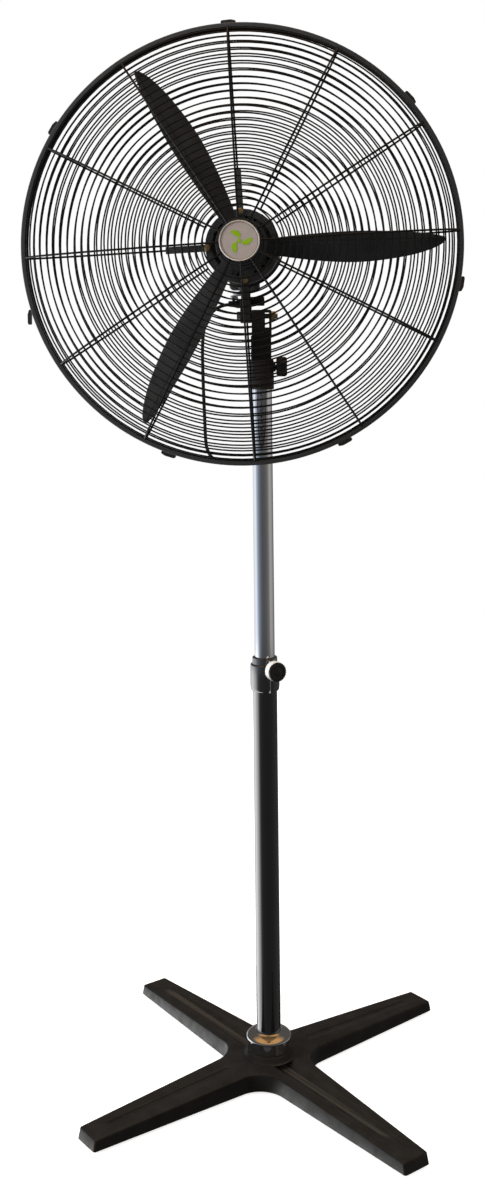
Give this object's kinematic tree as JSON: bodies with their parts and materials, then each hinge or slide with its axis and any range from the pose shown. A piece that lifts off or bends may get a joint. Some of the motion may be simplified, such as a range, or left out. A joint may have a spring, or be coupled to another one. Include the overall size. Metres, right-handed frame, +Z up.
{
  "type": "pedestal fan",
  "caption": "Axial pedestal fan: cast cross base, telescopic column, tilting and oscillating motor head, leaf-shaped blades in a wire guard.",
  "frame": {"origin": "on the floor below the fan's axis, level with the column", "axes": "+Z up; the fan blows towards -Y; +X is to the right as seen from the front; the column stands 30 mm to +X of the fan's axis"},
  "size_m": [0.8126, 0.686, 2.0409],
  "materials": {
    "black_cast": "satin black powder coat",
    "black_paint": "satin black paint",
    "black_plastic": "black moulded",
    "blade_plastic": "charcoal grey paint",
    "chrome": "bright chrome plate",
    "steel": "plain steel",
    "lamination": "laminated steel",
    "brass": "plain brass",
    "badge_metal": "silver grey enamel",
    "rubber": "black",
    "cord_rubber": "black flexible sheath"
  },
  "bodies": {
    "stand": {"base_casting": "black_cast", "foot_pad_1": "rubber", "foot_pad_2": "rubber", "foot_pad_3": "rubber", "foot_pad_4": "rubber", "base_trim_ring": "chrome", "outer_tube": "black_paint", "base_bolt": "steel", "height_collar": "black_plastic", "collar_bush": "black_plastic", "knob_spacer": "chrome", "mains_lead_lower": "cord_rubber", "mains_plug": "cord_rubber"},
    "height_knob": {"height_knob": "black_plastic"},
    "mast": {"inner_tube": "chrome", "tube_glide": "black_plastic", "neck_yoke": "black_cast", "tilt_bolt": "steel", "tilt_nut": "brass", "cord_clip": "black_plastic", "mains_lead_upper": "cord_rubber"},
    "neck_knob": {"neck_knob": "black_plastic"},
    "neck": {"tilt_bracket": "black_cast", "pivot_pin": "steel", "cord_gland": "black_plastic"},
    "head": {"motor_front_shield": "black_paint", "front_bearing": "steel", "stator_core": "lamination", "motor_rear_shield": "black_paint", "pivot_bush": "brass", "rear_bearing": "steel", "gearbox_housing": "black_paint", "switch_box": "black_plastic", "rear_guard": "black_paint", "guard_band": "black_paint", "front_guard": "black_paint", "guard_spider": "black_paint", "guard_screw_1": "brass", "guard_screw_2": "brass", "guard_screw_3": "brass", "guard_screw_4": "brass", "badge": "badge_metal"},
    "rotor": {"rotor_shaft": "steel", "rotor_core": "lamination", "fan_hub": "blade_plastic", "hub_nut": "steel", "blade_1": "blade_plastic", "blade_2": "blade_plastic", "blade_3": "blade_plastic"},
    "crank": {"crank_shaft": "steel"},
    "link": {"link_rod": "steel"},
    "oscillation_knob": {"oscillation_knob": "black_plastic"},
    "speed_knob": {"speed_knob": "black_plastic"},
    "guard_clip_1": {"guard_clip_1": "black_paint"},
    "guard_clip_2": {"guard_clip_2": "black_paint"},
    "guard_clip_3": {"guard_clip_3": "black_paint"},
    "guard_clip_4": {"guard_clip_4": "black_paint"},
    "guard_clip_5": {"guard_clip_5": "black_paint"},
    "guard_clip_6": {"guard_clip_6": "black_paint"},
    "guard_clip_7": {"guard_clip_7": "black_paint"}
  },
  "joints": [
    {"name": "height_slide", "type": "slide", "parent": "stand", "child": "mast", "axis": [0, 0, 1], "range_m": [-0.33, 0.03], "deforming": ["mains_lead_lower"]},
    {"name": "height_knob_turn", "type": "hinge", "parent": "stand", "child": "height_knob", "pos_m": [0.03, 0, 0.8025], "axis": [0.5, -0.866, 0], "range_deg": [0, 360]},
    {"name": "neck_knob_turn", "type": "hinge", "parent": "mast", "child": "neck_knob", "pos_m": [0.03, 0, 1.398], "axis": [1, 0, 0], "range_deg": [0, 360]},
    {"name": "head_tilt", "type": "hinge", "parent": "mast", "child": "neck", "pos_m": [0, 0, 1.4985], "axis": [1, 0, 0], "range_deg": [-20, 20], "deforming": ["mains_lead_upper"]},
    {"name": "oscillation", "type": "hinge", "parent": "neck", "child": "head", "pos_m": [0, 0, 1.5535], "axis": [0, 0, 1], "range_deg": [-40, 40]},
    {"name": "fan_spin", "type": "hinge", "parent": "head", "child": "rotor", "pos_m": [0, 0, 1.628], "axis": [0, -1, 0], "continuous": true},
    {"name": "crank_turn", "type": "hinge", "parent": "head", "child": "crank", "pos_m": [-0.012, 0.066, 1.628], "axis": [0, 0, 1], "range_deg": [-82, 82]},
    {"name": "link_turn", "type": "hinge", "parent": "crank", "child": "link", "pos_m": [-0.024, 0.066, 1.538], "axis": [0, 0, 1], "range_deg": [-82, 82]},
    {"name": "oscillation_knob_lift", "type": "slide", "parent": "head", "child": "oscillation_knob", "axis": [0, 0, 1], "range_m": [0, 0.008]},
    {"name": "speed_knob_turn", "type": "hinge", "parent": "head", "child": "speed_knob", "pos_m": [-0.004, 0.133, 1.615], "axis": [0, 1, 0], "range_deg": [0, 135]},
    {"name": "guard_clip_1_swing", "type": "hinge", "parent": "head", "child": "guard_clip_1", "pos_m": [0.31881, -0.201, 1.88372], "axis": [0, 1, 0], "range_deg": [0, 100]},
    {"name": "guard_clip_2_swing", "type": "hinge", "parent": "head", "child": "guard_clip_2", "pos_m": [-0.0088, -0.201, 2.03661], "axis": [0, 1, 0], "range_deg": [0, 100]},
    {"name": "guard_clip_3_swing", "type": "hinge", "parent": "head", "child": "guard_clip_3", "pos_m": [-0.33896, -0.201, 1.85634], "axis": [0, 1, 0], "range_deg": [0, 100]},
    {"name": "guard_clip_4_swing", "type": "hinge", "parent": "head", "child": "guard_clip_4", "pos_m": [-0.39119, -0.201, 1.50964], "axis": [0, 1, 0], "range_deg": [-20, 80]},
    {"name": "guard_clip_5_swing", "type": "hinge", "parent": "head", "child": "guard_clip_5", "pos_m": [-0.1489, -0.201, 1.24739], "axis": [0, 1, 0], "range_deg": [0, 100]},
    {"name": "guard_clip_6_swing", "type": "hinge", "parent": "head", "child": "guard_clip_6", "pos_m": [0.17617, -0.201, 1.25922], "axis": [0, 1, 0], "range_deg": [0, 100]},
    {"name": "guard_clip_7_swing", "type": "hinge", "parent": "head", "child": "guard_clip_7", "pos_m": [0.39906, -0.201, 1.53978], "axis": [0, 1, 0], "range_deg": [0, 100]}
  ],
  "couplings": [
    {"joint": "crank_turn", "follows": "oscillation", "ratio": -2},
    {"joint": "link_turn", "follows": "oscillation", "ratio": 2}
  ]
}
